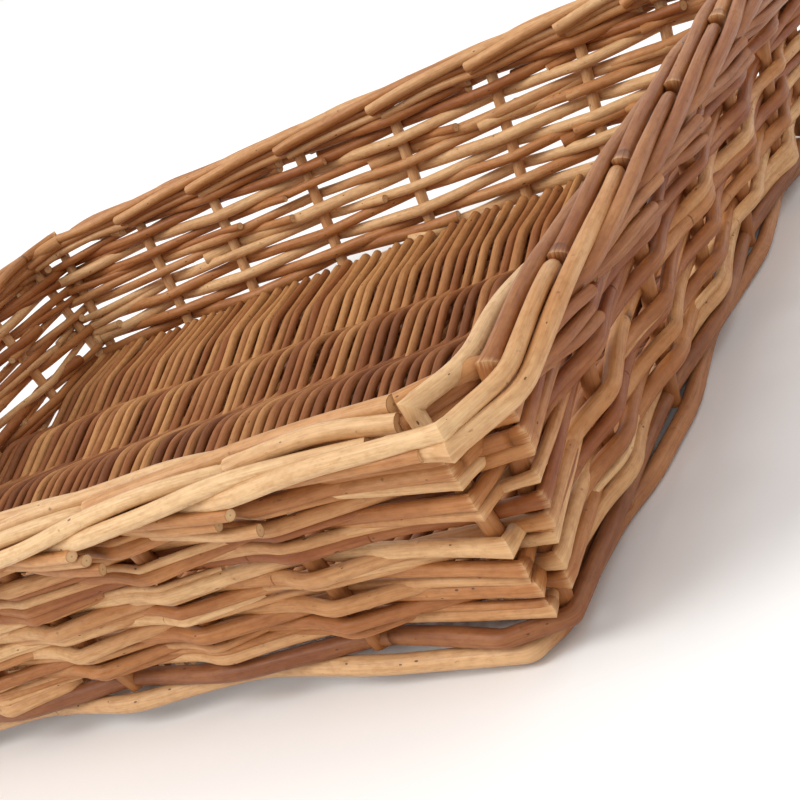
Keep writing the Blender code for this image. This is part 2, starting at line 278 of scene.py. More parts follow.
def lay_rod(route, outward, radius, rng, tone, taper=0.15, folds=(), wander=0.25 * MM, slant=0.35):
    """The skin of one rod along a route of (n, 3) points.

    At each point of the route the profile stands square to it: n leans outwards, b completes the pair, and
    the skin is centre + r (cos a n + sin a b). The radius falls by `taper` from start to end, swells with a
    slow wave, and rises at each bud by a small bell. At a fold one ring lies in the plane that halves the
    bend. It is drawn out to a ridge on the outer side, pinched on the inner side and a little wider than
    the rod.
    Radius and tone are one number each, or a list with one for each point of the route.
    Returns a dictionary of arrays: points, quads, fans and the attributes of the points.
    """
    route = np.asarray(route, float)
    run = np.concatenate([[0], np.cumsum(np.linalg.norm(np.diff(route, axis=0), axis=1))])
    length = run[-1]
    folds = np.asarray(folds, float).reshape(-1, 3)
    fold_runs = run[np.linalg.norm(route[None] - folds[:, None], axis=2).argmin(axis=1)].round(5)
    buds = np.arange(rng.uniform(0.2, 1) * BUD_STEP, length, BUD_STEP)
    buds = buds + rng.uniform(-0.4, 0.4, len(buds)) * BUD_STEP
    stations = np.concatenate([run, (buds[:, None] + BUD_RINGS).ravel()]).round(5)
    near = (np.abs(stations[:, None] - fold_runs) < CREASE_ROOM).any(axis=1)
    stations = np.concatenate([stations[~near], fold_runs, fold_runs - CREASE_ROOM, fold_runs + CREASE_ROOM])
    stations = np.unique(stations[(stations >= 0) & (stations <= run[-1].round(5))].round(5))
    centre = np.stack([np.interp(stations, run, route[:, axis]) for axis in range(3)], axis=1)
    out = np.stack([np.interp(stations, run, outward[:, axis]) for axis in range(3)], axis=1)
    legs = unit(np.diff(centre, axis=0))
    way = unit(np.concatenate([legs[:1], legs[:-1] + legs[1:], legs[-1:]]))
    normal = unit(out - (out * way).sum(axis=1, keepdims=True) * way)
    side = np.cross(way, normal)

    waves = rng.uniform(0, 2 * math.pi, 6)
    sway = np.sin(stations[:, None] / SWAY_WAVES / MM * 2 + waves[:3]).mean(axis=1)
    rise = np.sin(stations[:, None] / RISE_WAVES / MM * 2 + waves[3:]).mean(axis=1)
    calm = np.minimum(1, np.minimum(stations, length - stations) / CALM_END)[:, None]
    centre = centre + calm * wander * (sway[:, None] * normal + 1.4 * rise[:, None] * side)

    swell = 1 + 0.05 * np.sin(stations / (31 * MM) * 2 + waves[1]) * np.sin(stations / (13 * MM) + waves[2])
    thick = np.interp(stations, run, np.broadcast_to(radius, len(run)))
    thick = thick * (1 - taper * (stations / length - 0.5)) * swell
    shade = np.repeat(np.interp(stations, run, np.broadcast_to(tone, len(run))), SIDES)
    angle = np.arange(SIDES) * 2 * math.pi / SIDES
    bud_angle = rng.uniform(0, 2 * math.pi) + 2.4 * np.arange(len(buds))
    gap_along = stations[:, None] - buds
    gap_round = np.angle(np.exp(1j * (angle[:, None] - bud_angle)))
    bell = np.exp(-(gap_along / BUD_LENGTH) ** 2)[:, None, :] * np.exp(-(gap_round / BUD_WIDTH) ** 2)[None]
    bud = bell.sum(axis=2)
    around = thick[:, None, None] * (1 + BUD_SWELL * bud[..., None]) * (
        np.cos(angle)[:, None] * normal[:, None] + np.sin(angle)[:, None] * side[:, None])

    crease = np.isin(stations, fold_runs)
    for place in np.flatnonzero(crease[1:-1]) + 1:
        convex = unit(legs[place - 1] - legs[place])
        for step, share in ((-1, 0.35), (0, 1.0), (1, 0.35)):
            ring = around[place + step]
            across = ring @ convex
            ridge = np.where(across > 0, CREASE_RIDGE, CREASE_HOLLOW) if step == 0 else 0.94
            broad = 1 + (CREASE_WIDTH - 1) * share
            around[place + step] = broad * ring + ((ridge - broad) * across)[:, None] * convex
    skin = centre[:, None] + around
    slants = rng.uniform(-1, 1, 2) * slant
    skin[0] += way[0] * (slants[0] * thick[0] * np.cos(angle))[:, None]
    skin[-1] += way[-1] * (slants[1] * thick[-1] * np.cos(angle))[:, None]

    rings = len(stations)
    index = np.arange(rings * SIDES).reshape(rings, SIDES)
    right = np.roll(index, -1, axis=1)
    quads = np.stack([index[:-1], right[:-1], right[1:], index[1:]], axis=-1).reshape(-1, 4)
    first, last = rings * SIDES, rings * SIDES + 1
    start_fan = np.stack([right[0], index[0], np.full(SIDES, first)], axis=-1)
    end_fan = np.stack([index[-1], right[-1], np.full(SIDES, last)], axis=-1)
    shift = rng.uniform(0, 50, 3)
    grain = np.empty((rings, SIDES, 3))
    grain[..., 0] = np.cos(angle) * thick[:, None]
    grain[..., 1] = np.sin(angle) * thick[:, None]
    grain[..., 2] = stations[:, None]
    caps = np.array([[0, 0, 0], [0, 0, length]])
    return {
        "points": np.concatenate([skin.reshape(-1, 3), centre[[0, -1]]]),
        "quads": quads,
        "fans": np.concatenate([start_fan, end_fan]),
        "grain": np.concatenate([grain.reshape(-1, 3), caps]) + shift,
        "tone": np.concatenate([shade, shade[[0, -1]]]),
        "fold": np.concatenate([np.repeat(crease * 1.0, SIDES), [0, 0]]),
        "bud": np.concatenate([bud.reshape(-1), [0, 0]]),
        "ring": np.concatenate([np.ones(rings * SIDES), [0, 0]]),
    }


# %% Join rods into one piece
def add_piece(name, rods, material, nodes):
    """One mesh from several rods, with smooth skins, flat cuts and attributes; it stands for CAD nodes."""
    sizes = [len(rod["points"]) for rod in rods]
    offsets = np.concatenate([[0], np.cumsum(sizes)[:-1]])
    points = np.concatenate([rod["points"] for rod in rods])
    quads = np.concatenate([rod["quads"] + offset for rod, offset in zip(rods, offsets)])
    fans = np.concatenate([rod["fans"] + offset for rod, offset in zip(rods, offsets)])
    mesh = bpy.data.meshes.new(name)
    mesh.vertices.add(len(points))
    mesh.vertices.foreach_set("co", points.ravel())
    loops = np.concatenate([quads.ravel(), fans.ravel()])
    mesh.loops.add(len(loops))
    mesh.loops.foreach_set("vertex_index", loops)
    starts = np.concatenate([np.arange(len(quads)) * 4, len(quads) * 4 + np.arange(len(fans)) * 3])
    mesh.polygons.add(len(starts))
    mesh.polygons.foreach_set("loop_start", starts)
    mesh.polygons.foreach_set("use_smooth", np.arange(len(starts)) < len(quads))
    mesh.update(calc_edges=True)
    ends = np.empty(len(mesh.edges) * 2, dtype=np.int32)
    mesh.edges.foreach_get("vertices", ends)
    folded = np.concatenate([rod["fold"] for rod in rods])[ends.reshape(-1, 2)].min(axis=1) > 0.5
    mesh.attributes.new("sharp_edge", "BOOLEAN", "EDGE").data.foreach_set("value", folded)
    grain = mesh.attributes.new("grain", "FLOAT_VECTOR", "POINT")
    grain.data.foreach_set("vector", np.concatenate([rod["grain"] for rod in rods]).ravel())
    for key in ("tone", "fold", "bud", "ring"):
        layer = mesh.attributes.new(key, "FLOAT", "POINT")
        layer.data.foreach_set("value", np.concatenate([rod[key] for rod in rods]))
    mesh.materials.append(material)
    piece = bpy.data.objects.new(name, mesh)
    bpy.context.scene.collection.objects.link(piece)
    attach(piece, "root")
    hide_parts(*nodes)
    return piece


# %% [markdown]
# ## The wood
#
# Buff willow is boiled and peeled. It comes out anywhere from straw to fox red, with fine fibres along
# it, soft blotches, dark pin-pricks and bud scars, and a satin skin. Where it is folded, pale torn fibres
# show, and a cut end shows light wood round a dark pith. One recipe makes all of these; each kind of rod
# gets its own three colours and roughness.

# %% The willow material
def willow(name, dark, middle, light, rough=0.46):
    """Willow wood: colours by the rod's tone, fibres and specks by its grain, ends by its ring."""
    material = bpy.data.materials.new(name)
    material.use_nodes = True
    nodes = material.node_tree.nodes
    link = material.node_tree.links.new
    shader = nodes["Principled BSDF"]

    def add(kind, **settings):
        node = nodes.new(kind)
        for key, value in settings.items():
            setattr(node, key, value)
        return node

    def read(key):
        return add("ShaderNodeAttribute", attribute_name=key)

    def pattern(scale, detail, roughness=0.55):
        """Noise on the straight rod, stretched along it."""
        mapping = add("ShaderNodeMapping")
        mapping.inputs["Scale"].default_value = scale
        link(read("grain").outputs["Vector"], mapping.inputs["Vector"])
        noise = add("ShaderNodeTexNoise")
        noise.inputs["Scale"].default_value = 1
        noise.inputs["Detail"].default_value = detail
        noise.inputs["Roughness"].default_value = roughness
        link(mapping.outputs["Vector"], noise.inputs["Vector"])
        return noise.outputs["Fac"]

    def ramp(value, *stops):
        node = add("ShaderNodeValToRGB")
        band = node.color_ramp
        band.elements[0].position, band.elements[0].color = stops[0][0], (*stops[0][1], 1)
        band.elements[1].position, band.elements[1].color = stops[-1][0], (*stops[-1][1], 1)
        for place, colour in stops[1:-1]:
            band.elements.new(place).color = (*colour, 1)
        link(value, node.inputs["Fac"])
        return node.outputs["Color"]

    def mix(kind, factor, first, second):
        node = add("ShaderNodeMix", data_type="RGBA", blend_type=kind)
        for socket, value in zip((node.inputs[0], node.inputs[6], node.inputs[7]), (factor, first, second)):
            if isinstance(value, (int, float)):
                socket.default_value = value
            elif isinstance(value, tuple):
                socket.default_value = (*value, 1)
            else:
                link(value, socket)
        return node.outputs[2]

    def number(operation, first, second):
        node = add("ShaderNodeMath", operation=operation, use_clamp=True)
        for socket, value in zip(node.inputs, (first, second)):
            if isinstance(value, (int, float)):
                socket.default_value = value
            else:
                link(value, socket)
        return node.outputs[0]

    blotch = pattern((110, 110, 26), 3)
    tone = number("ADD", read("tone").outputs["Fac"],
                  number("MULTIPLY", number("SUBTRACT", blotch, 0.42), 0.9))
    colour = ramp(tone, (0.05, dark), (0.5, middle), (0.95, light))
    streak = pattern((1400, 1400, 42), 4, 0.65)
    streaks = ramp(streak, (0.30, (0.66, 0.57, 0.48)), (0.55, (1, 1, 1)), (0.75, (1.14, 1.12, 1.08)))
    colour = mix("MULTIPLY", 0.55, colour, streaks)
    mottle = pattern((700, 700, 300), 3, 0.6)
    mottles = ramp(mottle, (0.32, (0.78, 0.68, 0.58)), (0.52, (1, 1, 1)), (0.72, (1.1, 1.1, 1.08)))
    colour = mix("MULTIPLY", 0.6, colour, mottles)
    fibre = pattern((3600, 3600, 160), 2)
    colour = mix("MULTIPLY", 0.3, colour, ramp(fibre, (0.35, (0.74, 0.70, 0.66)), (0.6, (1, 1, 1))))
    stain = pattern((420, 420, 190), 3, 0.7)
    stained = ramp(stain, (0.66, (0, 0, 0)), (0.74, (0.55, 0.55, 0.55)))
    colour = mix("MIX", stained, colour, (0.16, 0.065, 0.025))

    mapping = add("ShaderNodeMapping")
    mapping.inputs["Scale"].default_value = (380, 380, 170)
    link(read("grain").outputs["Vector"], mapping.inputs["Vector"])
    cells = add("ShaderNodeTexVoronoi")
    cells.inputs["Scale"].default_value = 1
    link(mapping.outputs["Vector"], cells.inputs["Vector"])
    parts = add("ShaderNodeSeparateColor")
    link(cells.outputs["Color"], parts.inputs["Color"])
    few = number("GREATER_THAN", parts.outputs["Red"], 0.52)
    size = number("MULTIPLY", parts.outputs["Green"], 0.14)
    close = number("LESS_THAN", cells.outputs["Distance"], size)
    dots = number("MULTIPLY", number("MULTIPLY", close, few), 0.85)
    colour = mix("MIX", dots, colour, (0.07, 0.03, 0.012))
    bud = read("bud").outputs["Fac"]
    scarred = number("MULTIPLY", bud, number("ADD", streak, 0.35))
    scar = ramp(scarred, (0.45, (0, 0, 0)), (0.8, (0.75, 0.75, 0.75)))
    colour = mix("MIX", scar, colour, (0.13, 0.055, 0.022))
    torn = number("MULTIPLY", read("fold").outputs["Fac"], number("MULTIPLY", streak, 1.5))
    colour = mix("MIX", ramp(torn, (0.45, (0, 0, 0)), (0.9, (0.5, 0.5, 0.5))), colour, (0.72, 0.47, 0.24))

    ring = read("ring").outputs["Fac"]
    end_wood = ramp(ring, (0.03, (0.36, 0.20, 0.09)), (0.14, (0.52, 0.33, 0.16)), (0.24, (0.66, 0.44, 0.23)),
                    (0.86, (0.60, 0.38, 0.19)), (0.97, (0.26, 0.12, 0.05)))
    on_end = number("LESS_THAN", ring, 0.985)
    colour = mix("MIX", on_end, colour, end_wood)
    link(colour, shader.inputs["Base Color"])

    gloss = ramp(streak, (0.3, (rough + 0.12,) * 3), (0.7, (rough - 0.06,) * 3))
    link(gloss, shader.inputs["Roughness"])
    bump = add("ShaderNodeBump")
    bump.inputs["Strength"].default_value = 0.35
    bump.inputs["Distance"].default_value = 0.00018
    height = number("ADD", number("MULTIPLY", streak, 0.7), number("MULTIPLY", fibre, 0.4))
    link(height, bump.inputs["Height"])
    link(bump.outputs["Normal"], shader.inputs["Normal"])
    shader.inputs["Specular IOR Level"].default_value = 0.27
    return material


STAKE_WOOD = willow("stake_willow", (0.28, 0.095, 0.028), (0.52, 0.250, 0.094), (0.71, 0.475, 0.255), 0.40)
SIDING_WOOD = willow("siding_willow", (0.235, 0.063, 0.016), (0.45, 0.192, 0.064), (0.69, 0.43, 0.212), 0.44)
STICK_WOOD = willow("stick_willow", (0.12, 0.036, 0.011), (0.20, 0.066, 0.020), (0.30, 0.125, 0.044), 0.5)
WEAVER_WOOD = willow("weaver_willow", (0.13, 0.036, 0.009), (0.29, 0.102, 0.031), (0.49, 0.24, 0.088), 0.5)
FOOT_WOOD = willow("foot_willow", (0.19, 0.060, 0.022), (0.42, 0.18, 0.070), (0.66, 0.40, 0.20), 0.44)
print("five kinds of willow")

# %% [markdown]
# ## Going round the walls
#
# A siding rod passes outside one upright and inside the next. Its path is what a tight string would do:
# at each upright it keeps one stake and one rod radius away, on the line that halves its turn. A few
# rounds of moving each point onto that line find the path. At the corners the rod is folded sharply, and
# there the two uprights of the real tray stand closer than the solids can.

# %% A tight string round the uprights
STAKE_RADIUS = 2.4 * MM
CORNER_PINCH_FOOT = 3.6 * MM
CORNER_PINCH_NECK = 1.0 * MM
TAUT_ROUNDS = 24
TAUT_STEP = 0.6
SHARE_OF_CORNER_GAP = 0.5


def stakes_at(levels):
    """The centres of all uprights, each at its own level. Corner pairs are drawn together a little."""
    share = ((levels - FOOT[:, 2]) / (NECK[:, 2] - FOOT[:, 2]))[:, None]
    places = FOOT + (NECK - FOOT) * share
    tangent = np.stack([-WALL_WAY[:, 1], WALL_WAY[:, 0]], axis=1)
    towards = np.where(np.roll(IS_CORNER, -1) & IS_CORNER, 1, -1) * IS_CORNER
    pinch = CORNER_PINCH_FOOT + (CORNER_PINCH_NECK - CORNER_PINCH_FOOT) * np.minimum(share[:, 0], 1)
    places[:, :2] += tangent * (towards * pinch)[:, None]
    return places


def taut_ring(levels, sides, reach):
    """The corners of a closed tight string, and its outward direction at each upright.

    Between the two uprights of a corner there is less room than two rods need, so there the string runs
    through the middle of the gap, as the squashed rods of the real tray do.
    """
    centres = stakes_at(levels)[:, :2]
    after = np.linalg.norm(np.roll(centres, -1, axis=0) - centres, axis=1)
    gap = np.minimum(after, np.roll(after, 1))
    held = np.minimum(reach, SHARE_OF_CORNER_GAP * gap)
    points = centres.copy()
    for _ in range(TAUT_ROUNDS):
        before = unit(points - np.roll(points, 1, axis=0))
        after = np.roll(before, -1, axis=0)
        middle = unit(before + after)
        half = np.sqrt(np.clip((1 + (before * after).sum(axis=1)) / 2, 0.5, 1))
        outward = np.stack([middle[:, 1], -middle[:, 0]], axis=1)
        target = centres + outward * (sides * held / half)[:, None]
        points = points + TAUT_STEP * (target - points)
    points = points + outward * (np.maximum(sides, 0) * (reach - held))[:, None]
    flat = np.zeros((COUNT, 1))
    return np.hstack([points, levels[:, None]]), np.hstack([outward, flat])


def carry(values, route, path):
    """Values given at the corners of a route, read at the points of its rounded path by share of length."""
    run = np.concatenate([[0], np.linalg.norm(np.diff(route, axis=0), axis=1).cumsum()])
    path_run = np.concatenate([[0], np.linalg.norm(np.diff(path, axis=0), axis=1).cumsum()])
    reading = path_run * run[-1] / path_run[-1]
    return np.stack([np.interp(reading, run, values[:, axis]) for axis in range(values.shape[1])], axis=1)


ZERO = np.zeros(COUNT)
BORDER_OUT = taut_ring(NECK[:, 2], ZERO, 0)[1]
print("upright 8 stands at", (1000 * stakes_at(np.full(COUNT, 0.02))[8]).round(1), "mm")

# %% [markdown]
# ## The siding
#
# Each of the twelve rows is woven from three rods. Where one runs out, the next starts beside it, and for
# about one upright they lie together, one above the other. The cut ends are left on the inside.
#
# The tray stands on its corners: in the middle of the long walls the lower rows are lifted a little. At
# the corners the rods are beaten down hard, and a second rod is folded in with some of the rows, so the
# folds there don't keep the even steps of the walls.

# %% Lay the siding
SIDING_RADIUS = 2.35 * MM
FIRST_ROW_LEVEL = 15.5 * MM
LAST_ROW_LEVEL = 75.0 * MM
SIDE_CUTS = (1.0 * MM, 5.5 * MM)
# where a rod draws back between uprights, in uprights from one that it passes outside, and how far inwards
DRAWS_BACK = ((-0.27, 3.0 * MM), (0.5, 2.0 * MM))
DRAW_CUT = 9 * MM
ROD_WANDER = 0.3 * MM
# a rod's end that would come out between two uprights is cut shorter
SHORT_END = 0.45
LEVEL_JITTER = 0.8 * MM
# on the back wall the rods lie more evenly, draw back less and rise less
BACK_WALL_CALM = 0.6
BACK_WALL_DRAW = 0.4
BACK_WALL_FROM = 0.14
BACK_WALL_RISE = 0.25
ARCH_RISE = 7.0 * MM
ARCH_POWER = 3
ARCH_HALF_LENGTH = 0.2
LONG_WALLS_FROM = 0.148
# a fold's drop counts in full at a corner upright and by this share at the next one on the wall
DROP_SPREAD = (0.35, 1, 0.35)
ROW_STEP = (LAST_ROW_LEVEL - FIRST_ROW_LEVEL) / (ROWS - 1)
# how far each row's folds lie above or below its level on the walls, in millimetres
FOLD_DROP = np.array([1.0, 1.1, 0.2, -3.2, -4.1, -1.5, -6.9, -5.6, -0.8, -1.2, -1.6, -8.0]) * MM
# rows whose folds hold a second rod, and how far above the first it lies there, in millimetres
DOUBLED = {5: -6.0, 7: 6.0, 8: -4.8, 10: -4.6}
THIN_RADIUS = 1.4 * MM
# stretches of the walls where a row may also hold a thin rod, and how often it does
THIN_RANGES = ((0, 6, 0.9), (3, 8, 0.8), (9, 14, 0.3), (25, 31, 0.4))
# the uprights at which each row's rods begin
SPLICES = ((4, 14, 27), (12, 20, 31), (5, 13, 26), (3, 14, 24), (6, 18, 29), (1, 13, 25),
           (12, 22, 30), (5, 15, 26), (2, 13, 20), (4, 14, 28), (3, 17, 31), (12, 25, 3))
ON_BACK_WALL = (np.arange(COUNT) > 15) & (np.arange(COUNT) < 25)
ON_RIGHT_WALL = (np.arange(COUNT) > 9) & (np.arange(COUNT) < 16)
BY_THE_PORTRAIT = (np.arange(COUNT) > 5) & (np.arange(COUNT) < 12)
# away from the portrait's corner the folds are beaten down less
FOLD_SHARE = np.where(BY_THE_PORTRAIT, 1.0, 0.35)
# how much thicker the rods are on a wall, and in the lowest rows of the back wall
THICKER = 1 + 0.12 * ON_BACK_WALL + 0.08 * ON_RIGHT_WALL
LOW_ROWS, LOW_ROWS_THICKER = 3, 0.18
# the right wall's rods bend softly
SOFT_BENDS = np.where(ON_RIGHT_WALL, 2.4, 1.0)
# the rods are paler on the left part of the front wall, which is painted sunlight, a touch darker before its
# right corner, and on the right wall darker from row to row, which is painted shade mixed with the wood's own
# redder tone
SIDING_SUN_AND_SHADE = np.repeat([0.1, -0.04, 0.0, 0.0], (6, 3, 7, 16))
RIGHT_WALL_SHADE_AND_TONE_FALL = 0.75
SIDING_SEED = 100


def lift(points):
    """How far the foot and the lower rows rise between the corners of the long walls.

    The rise is 1 - (x / half length)^3 of its greatest, and fades to nothing at the border. The back wall
    rises less.
    """
    long_wall = np.abs(points[:, 1]) > LONG_WALLS_FROM
    share = np.clip(np.abs(points[:, 0]) / ARCH_HALF_LENGTH, 0, 1)
    fade = np.clip(1 - points[:, 2] / NECK[0, 2], 0, 1)
    rise = ARCH_RISE * np.where(points[:, 1] > 0, BACK_WALL_RISE, 1)
    return long_wall * rise * (1 - share ** ARCH_POWER) * fade


def row_side(row):
    """1 where the row passes outside a stake, -1 where it passes inside."""
    return np.where((np.arange(COUNT) + row) % 2 == 0, 1, -1)


def row_levels(row, rng):
    """The level of a row at each upright: its step on the walls, moved at the corners, never quite even."""
    levels = np.full(COUNT, FIRST_ROW_LEVEL + row * ROW_STEP)
    round_about = np.concatenate([IS_CORNER[-1:], IS_CORNER, IS_CORNER[:1]])
    near_corner = np.convolve(round_about, DROP_SPREAD, "valid")
    levels += np.minimum(near_corner, 1) * FOLD_SHARE * FOLD_DROP[row]
    calm = np.where(IS_CORNER, 0.5, 1) * np.where(ON_BACK_WALL, BACK_WALL_CALM, 1)
    return levels + rng.normal(0, LEVEL_JITTER, COUNT) * calm


def woven_rod(row, first, last, levels, radius, tone, rng, raised=0.0):
    """A rod of one row from upright to upright, counted on past the last one if it goes round."""
    sides = row_side(row)
    points, outward = taut_ring(levels, sides, STAKE_RADIUS + radius)
    inner = np.arange(first, last + 1)
    proud = inner[(sides[inner % COUNT] > 0) & ~IS_CORNER[inner % COUNT]]
    eased = np.concatenate([proud + step for step, _ in DRAWS_BACK])
    depths = np.repeat([depth for _, depth in DRAWS_BACK], len(proud))
    short = np.where(sides[[(first - 1) % COUNT, (last + 1) % COUNT]] > 0, SHORT_END, 1)
    ends = first - short[0] * rng.uniform(0.5, 0.8), last + short[1] * rng.uniform(0.3, 0.6)
    stops = np.concatenate([ends[:1], inner, ends[1:], eased])
    drawn = np.concatenate([np.zeros(len(inner) + 2), depths])
    inside = (stops >= stops[0]) & (stops <= stops[len(inner) + 1])
    order = np.argsort(stops[inside])
    stops, drawn = stops[inside][order], drawn[inside][order]
    route, aim = along(points, stops), along(outward, stops)
    route -= aim * (drawn * np.where(route[:, 1] > BACK_WALL_FROM, BACK_WALL_DRAW, 1))[:, None]
    double = np.where(stops < first + 1.5, 0.7, np.where(stops > last - 0.6, -0.7, 0))
    route[:, 2] += double * radius + raised
    route[:, 2] += lift(route)
    route[[0, -1]] -= unit(aim[[0, -1]]) * rng.uniform(2.5, 4.5) * MM
    nearest = stops.round().astype(int) % COUNT
    folded = IS_CORNER[nearest] & (sides[nearest] > 0) & (np.abs(stops - stops.round()) < 0.01)
    cuts = np.where(drawn > 0, DRAW_CUT, rng.uniform(*SIDE_CUTS, len(stops)))
    cuts = np.where(folded, 0, cuts * SOFT_BENDS[nearest])[1:-1]
    path = rounded(route, cuts)
    aims = carry(aim, route, path)
    thick = THICKER[nearest] + (row < LOW_ROWS) * LOW_ROWS_THICKER * ON_BACK_WALL[nearest]
    thick = radius * carry(thick[:, None], route, path)[:, 0]
    # painted sunlight on the left of the front wall, and painted shade with some real redder tone on the
    # right wall
    shift = SIDING_SUN_AND_SHADE[nearest] - RIGHT_WALL_SHADE_AND_TONE_FALL * row / ROWS * ON_RIGHT_WALL[nearest]
    tones = np.clip(tone + carry(shift[:, None], route, path)[:, 0], 0, 1)
    taper = rng.choice([-0.28, 0.28])
    return lay_rod(path, aims, thick, rng, tones, taper, folds=route[folded], wander=ROD_WANDER)


def siding_rods(row, rng):
    """The rods of one row, each overlapping the next by a stake, and the second rods at the corners."""
    rods = []
    splices = sorted(SPLICES[row])
    levels = row_levels(row, rng)
    for number, first in enumerate(splices):
        last = splices[(number + 1) % len(splices)]
        last += COUNT if last <= first else 0
        radius = SIDING_RADIUS * rng.uniform(0.90, 1.06)
        rods.append(woven_rod(row, first, last, levels, radius, rng.uniform(0.1, 0.95), rng))
    if row in DOUBLED:
        for pair in np.flatnonzero(IS_CORNER & np.roll(IS_CORNER, -1)):
            raised = np.full(COUNT, 0.2 * DOUBLED[row] * MM)
            raised[[pair, (pair + 1) % COUNT]] = DOUBLED[row] * MM
            extra = levels + raised
            radius = SIDING_RADIUS * rng.uniform(0.72, 0.9)
            ends = pair - rng.integers(2, 4), pair + 1 + rng.integers(2, 4)
            rods.append(woven_rod(row, *ends, extra, radius, rng.uniform(0.2, 0.85), rng))
    for first, last, chance in THIN_RANGES:
        begin = rng.integers(first, last - 3)
        radius = THIN_RADIUS * rng.uniform(0.8, 1.2)
        above = (rng.choice([-1, 1]) if row else 1) * (SIDING_RADIUS + 0.8 * radius)
        ends = begin, min(begin + rng.integers(3, 7), last)
        if rng.random() < chance:
            rods.append(woven_rod(row, *ends, levels + above, radius, rng.uniform(0.1, 0.75), rng))
    return rods


siding = []
for row, name in enumerate(ROW_NAMES):
    rods = siding_rods(row, np.random.default_rng(SIDING_SEED + row))
    siding.append(add_piece(f"siding_row_{row + 1:02d}", rods, SIDING_WOOD, [name]))
print(len(siding), "rows,", sum(len(piece.data.polygons) for piece in siding), "faces")

# %% [markdown]
# ## Uprights and border
#
# Above the siding every upright is folded over to the right and becomes a strand on top of the rim,
# inside its neighbour. A second rod, pushed in beside the upright, leaves on the outside, climbs past two
# uprights and ends under the fold of the third. The tips of earlier rods are cut off below them, where
# they come out. So several strands lie side by side. Along a wall each upright has three cut tips outside
# and two short strands inside. At a corner the first upright has one tip and no such sweep, and the
# second a short thick butt and no tips.

# %% Strands of the border
# uprights passed, offset outwards and level, both in millimetres
CAP_STRAND = np.array([
    (0.02, 0.0, 84.8),
    (0.50, -2.6, 86.2),
    (1.00, -5.8, 86.2),
    (1.50, -8.2, 85.2),
    (1.85, -9.6, 83.6),
    (2.10, -10.0, 82.4),
])
CORNER_CAP_STRAND = np.array([
    (0.00, -1.6, 86.0),
    (0.10, -7.6, 86.0),
    (0.55, -10.2, 85.6),
    (1.10, -10.8, 83.0),
    (1.30, -10.0, 80.5),
])
CORNER_BUTT = np.array([
    (-0.09, -6.6, 84.6),
    (0.00, -5.6, 84.2),
    (0.06, -4.2, 83.2),
])
SWEEP_STRAND = np.array([
    (0.20, -1.0, 75.5),
    (0.50, 3.2, 77.5),
    (0.75, 5.6, 79.2),
    (1.00, 9.0, 80.4),
    (1.50, 9.0, 82.4),
    (2.00, 6.6, 84.8),
    (2.50, 3.9, 85.9),
    (2.85, 1.0, 84.8),
    (3.00, -1.4, 82.4),
    (3.12, -2.8, 79.5),
])
TAIL_STRANDS = (
    np.array([(-1.00, 1.0, 78.5), (-0.75, 5.0, 78.2), (-0.50, 8.0, 78.0), (-0.12, 10.8, 77.2)]),
    np.array([(-0.95, 0.5, 75.0), (-0.70, 4.6, 74.6), (-0.45, 8.0, 73.8), (-0.12, 10.0, 72.8)]),
    np.array([(-0.75, 1.5, 72.5), (-0.50, 5.6, 71.0), (-0.28, 8.6, 70.0), (-0.05, 10.0, 69.2)]),
)
TAIL_SPREAD = 0.12
INNER_STRANDS = (
    np.array([(-0.05, -3.2, 78.0), (0.50, -5.2, 78.8), (1.05, -5.0, 77.4)]),
    np.array([(-0.10, -2.6, 81.4), (0.55, -6.0, 82.2), (1.12, -6.2, 80.4)]),
)
CAP_RADIUS = 2.6 * MM
SWEEP_RADIUS = 2.45 * MM
TAIL_RADIUS = 1.95 * MM
# how far the strands sink where they turn a corner
CORNER_SINK = 3.6 * MM
# the last point of a sweep that ends at a corner, as in the strands above
CORNER_STOP = (2.72, 1.5, 80.5)
STRAND_CUT = 13 * MM
CORNER_CUT = 6 * MM
CORNER_REACH = 6.0 * MM
CORNER_PACE = 0.004
NEAR_A_TURN = 0.12
KNEE_CUT = 4 * MM
# how far above its CAD foot each upright is cut off, behind the foot rods
CUT_ABOVE = 5.5 * MM
RED_CAPS = (9, 10, 11, 12)
UPRIGHT_TONE = {"front": 0.12, "right": 0.12, "back": 0.55, "left": 0.5}
# how light the border's strands are on each wall, and the painted sunlight on the sweeps of the stretch
# before the portrait's corner
WALL_TONES = np.repeat([(0.5, 0.9), (0.05, 0.42), (0.2, 0.6), (0.3, 0.7)], (9, 7, 9, 7), axis=0)
PAINTED_SUN_UPRIGHTS = (3, 4, 5, 6)
PAINTED_SUN_TONE = 0.85
UPRIGHT_SEED = 300
STRAND_SHIFT = -0.35 * ((np.arange(COUNT) > 8) & (np.arange(COUNT) < 16))
IS_FIRST = IS_CORNER & np.roll(IS_CORNER, -1)
IS_SECOND = IS_CORNER & np.roll(IS_CORNER, 1)
PACE = np.concatenate([[0], np.cumsum(np.where(IS_FIRST, CORNER_PACE, 1.0))])
TANGENT = np.stack([-WALL_WAY[:, 1], WALL_WAY[:, 0], ZERO], axis=1)


def upright_at(index, passed):
    """The fractional upright that lies so many paces on; the short way round a corner hardly counts."""
    paces = np.concatenate([PACE[:-1] - PACE[-1], PACE[:-1], PACE[:-1] + PACE[-1]])
    return np.interp(PACE[index] + passed, paces, np.arange(-COUNT, 2 * COUNT))


